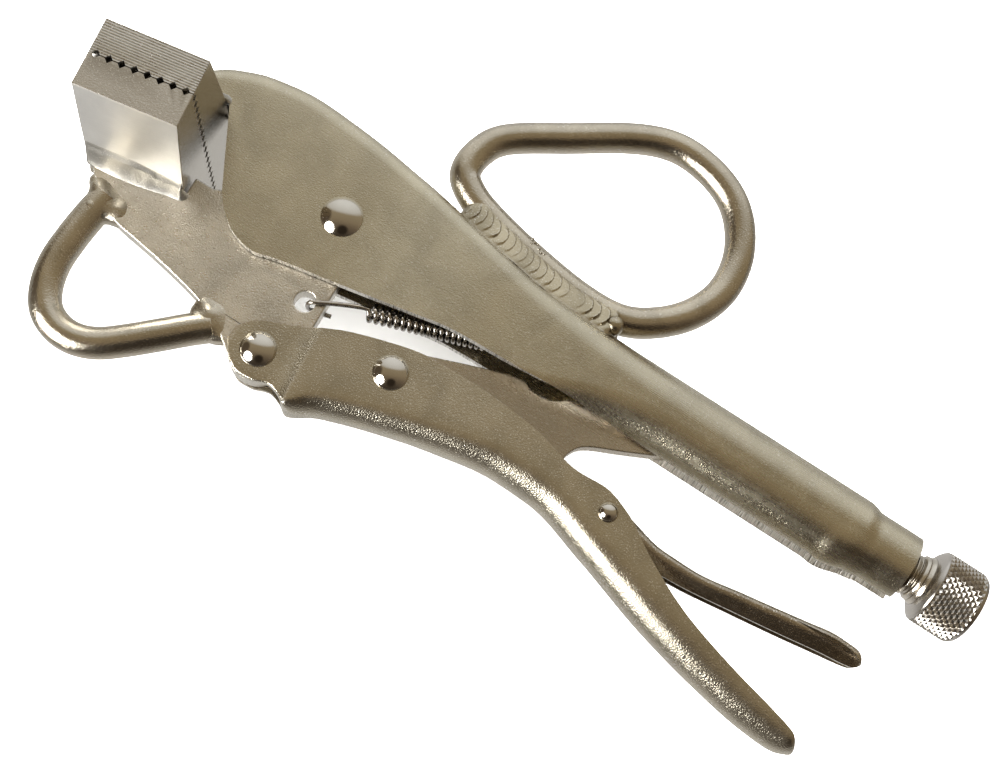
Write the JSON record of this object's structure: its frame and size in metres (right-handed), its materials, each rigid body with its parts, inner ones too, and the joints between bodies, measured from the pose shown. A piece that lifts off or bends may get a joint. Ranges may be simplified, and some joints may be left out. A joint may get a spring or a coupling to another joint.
{
  "type": "locking pliers",
  "caption": "Over-centre locking pliers with wide serrated bar jaws, a welded pull ring on each side, a release lever and a knurled adjusting screw.",
  "frame": {"origin": "centre of the footprint, on the plane that the lower ends of the jaw blocks stand on", "axes": "+X from the jaws along the upper handle to the knob, +Y from the lower handle to the back of the upper handle, +Z across the wide jaws and along every rivet"},
  "size_m": [0.2466, 0.135, 0.0668],
  "materials": {
    "nickel_sheet": "satin nickel plate over folded sheet steel, fine grain",
    "nickel_bar": "satin nickel plate over bent round bar",
    "ground_steel": "ground and milled faces under nickel plate",
    "rivet_steel": "smooth domed heads, bright nickel",
    "weld_bead": "rippled weld under nickel plate",
    "screw_steel": "turned and knurled, nickel plated",
    "spring_wire": "drawn wire, darkened"
  },
  "bodies": {
    "upper_handle": {"main_pivot_rivet": "rivet_steel", "spring_anchor_pin": "rivet_steel", "tension_spring": "spring_wire", "upper_handle_shell": "nickel_sheet", "upper_jaw_block": "ground_steel", "upper_jaw_tang": "nickel_sheet", "upper_jaw_weld_left": "weld_bead", "upper_jaw_weld_right": "weld_bead", "upper_pull_ring": "nickel_bar", "upper_ring_weld_left": "weld_bead", "upper_ring_weld_right": "weld_bead"},
    "lower_jaw": {"lower_jaw_plate": "nickel_sheet", "lower_jaw_block": "ground_steel", "lower_pull_ring": "nickel_bar", "jaw_handle_rivet": "rivet_steel", "lower_jaw_weld_left": "weld_bead", "lower_jaw_weld_right": "weld_bead", "lower_ring_weld_front_left": "weld_bead", "lower_ring_weld_front_right": "weld_bead", "lower_ring_weld_rear_left": "weld_bead", "lower_ring_weld_rear_right": "weld_bead"},
    "lower_handle": {"lower_handle_shell": "nickel_sheet", "toggle_rivet": "rivet_steel", "release_lever_rivet": "rivet_steel"},
    "toggle_link": {"toggle_link": "nickel_sheet"},
    "release_lever": {"release_lever": "nickel_sheet"},
    "adjusting_screw": {"adjusting_screw": "screw_steel"},
    "adjusting_knob": {"adjusting_knob": "screw_steel"}
  },
  "joints": [
    {"name": "jaw_hinge", "type": "hinge", "parent": "upper_handle", "child": "lower_jaw", "pos_m": [-0.05797, -0.00325, 0.0334], "axis": [0, 0, 1], "range_deg": [0, 22], "deforming": ["tension_spring"]},
    {"name": "handle_hinge", "type": "hinge", "parent": "lower_jaw", "child": "lower_handle", "pos_m": [-0.05557, -0.04225, 0.0334], "axis": [0, 0, 1], "range_deg": [-71.4, 0]},
    {"name": "toggle_hinge", "type": "hinge", "parent": "lower_handle", "child": "toggle_link", "pos_m": [-0.02617, -0.02995, 0.0334], "axis": [0, 0, 1], "range_deg": [0, 68.1]},
    {"name": "release_lever_hinge", "type": "hinge", "parent": "lower_handle", "child": "release_lever", "pos_m": [0.03493, -0.03005, 0.0334], "axis": [0, 0, 1], "range_deg": [-9, 0]},
    {"name": "screw_travel", "type": "slide", "parent": "upper_handle", "child": "adjusting_screw", "axis": [1, 0, 0], "range_m": [0, 0.012]},
    {"name": "knob_turn", "type": "hinge", "parent": "adjusting_screw", "child": "adjusting_knob", "pos_m": [0.11003, -0.00025, 0.0334], "axis": [1, 0, 0], "range_deg": [0, 2880.1]}
  ],
  "couplings": [
    {"joint": "handle_hinge", "follows": "jaw_hinge", "ratio": -3.242},
    {"joint": "toggle_hinge", "follows": "jaw_hinge", "ratio": 3.091},
    {"joint": "knob_turn", "follows": "screw_travel", "rad_per_m": 4188.8}
  ]
}
